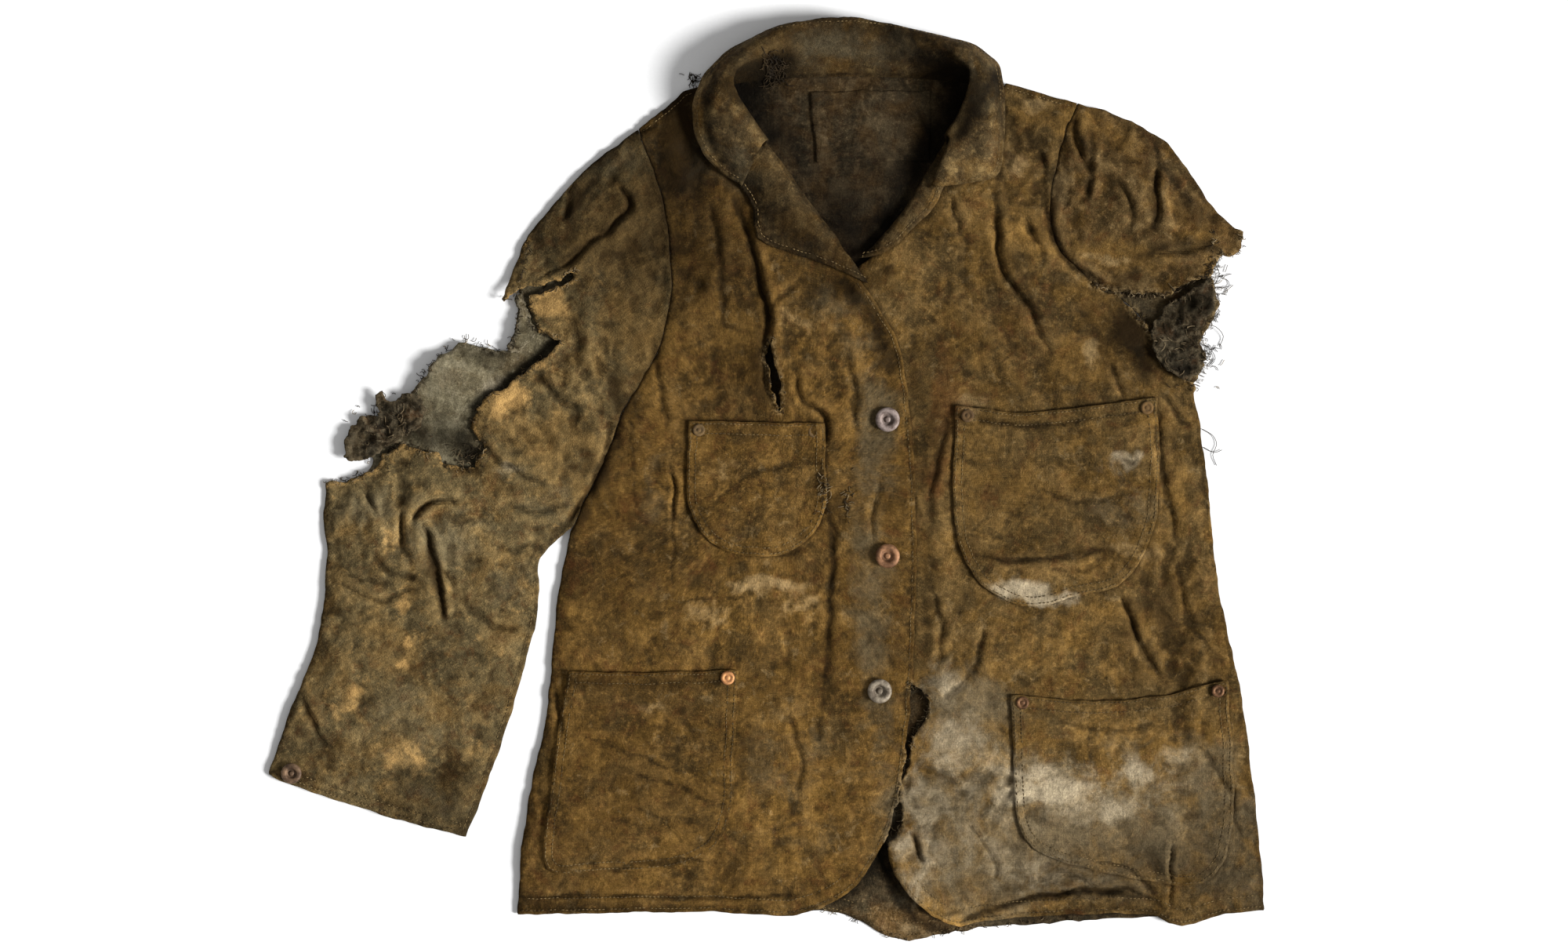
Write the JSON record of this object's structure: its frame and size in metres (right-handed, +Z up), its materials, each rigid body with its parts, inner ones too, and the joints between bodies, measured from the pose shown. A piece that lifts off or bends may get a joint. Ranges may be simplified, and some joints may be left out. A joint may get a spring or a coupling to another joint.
{
  "type": "chore jacket",
  "caption": "Worn and torn cotton-duck chore jacket caked with mud, laid flat on its back with patch pockets, tack buttons and one sleeve torn away.",
  "frame": {"origin": "middle of the box round the jacket, on the surface it lies on", "axes": "+X towards the wearer's left sleeve, +Y towards the collar, +Z up away from the surface"},
  "size_m": [0.7622, 0.7038, 0.033],
  "materials": {
    "brown_duck": "matte, mud-caked and mottled",
    "dark_duck": "matte, dark and stained",
    "grey_duck": "matte, worn grey",
    "button_metal": "corroded",
    "rivet_copper": "dull"
  },
  "bodies": {
    "root": {"back": "dark_duck", "neck_facing": "dark_duck", "front_right": "brown_duck", "front_left": "brown_duck", "sleeve_right_upper": "brown_duck", "sleeve_right_under": "grey_duck", "sleeve_left_upper": "brown_duck", "sleeve_left_under": "grey_duck", "collar": "brown_duck", "lapel_right": "brown_duck", "lapel_left": "brown_duck", "chest_pocket_right": "brown_duck", "chest_pocket_left": "brown_duck", "lower_pocket_right": "brown_duck", "lower_pocket_left": "brown_duck", "torn_strip": "grey_duck", "scrap_elbow": "grey_duck", "scrap_armhole": "grey_duck", "button_top": "button_metal", "button_middle": "button_metal", "button_low": "button_metal", "button_cuff": "button_metal", "rivet_lower_right": "rivet_copper", "rivet_lower_left_inner": "rivet_copper", "rivet_lower_left_outer": "rivet_copper", "rivet_chest_right_outer": "rivet_copper", "rivet_chest_right_inner": "rivet_copper", "rivet_chest_left_inner": "rivet_copper", "rivet_chest_left_outer": "rivet_copper"}
  },
  "joints": []
}
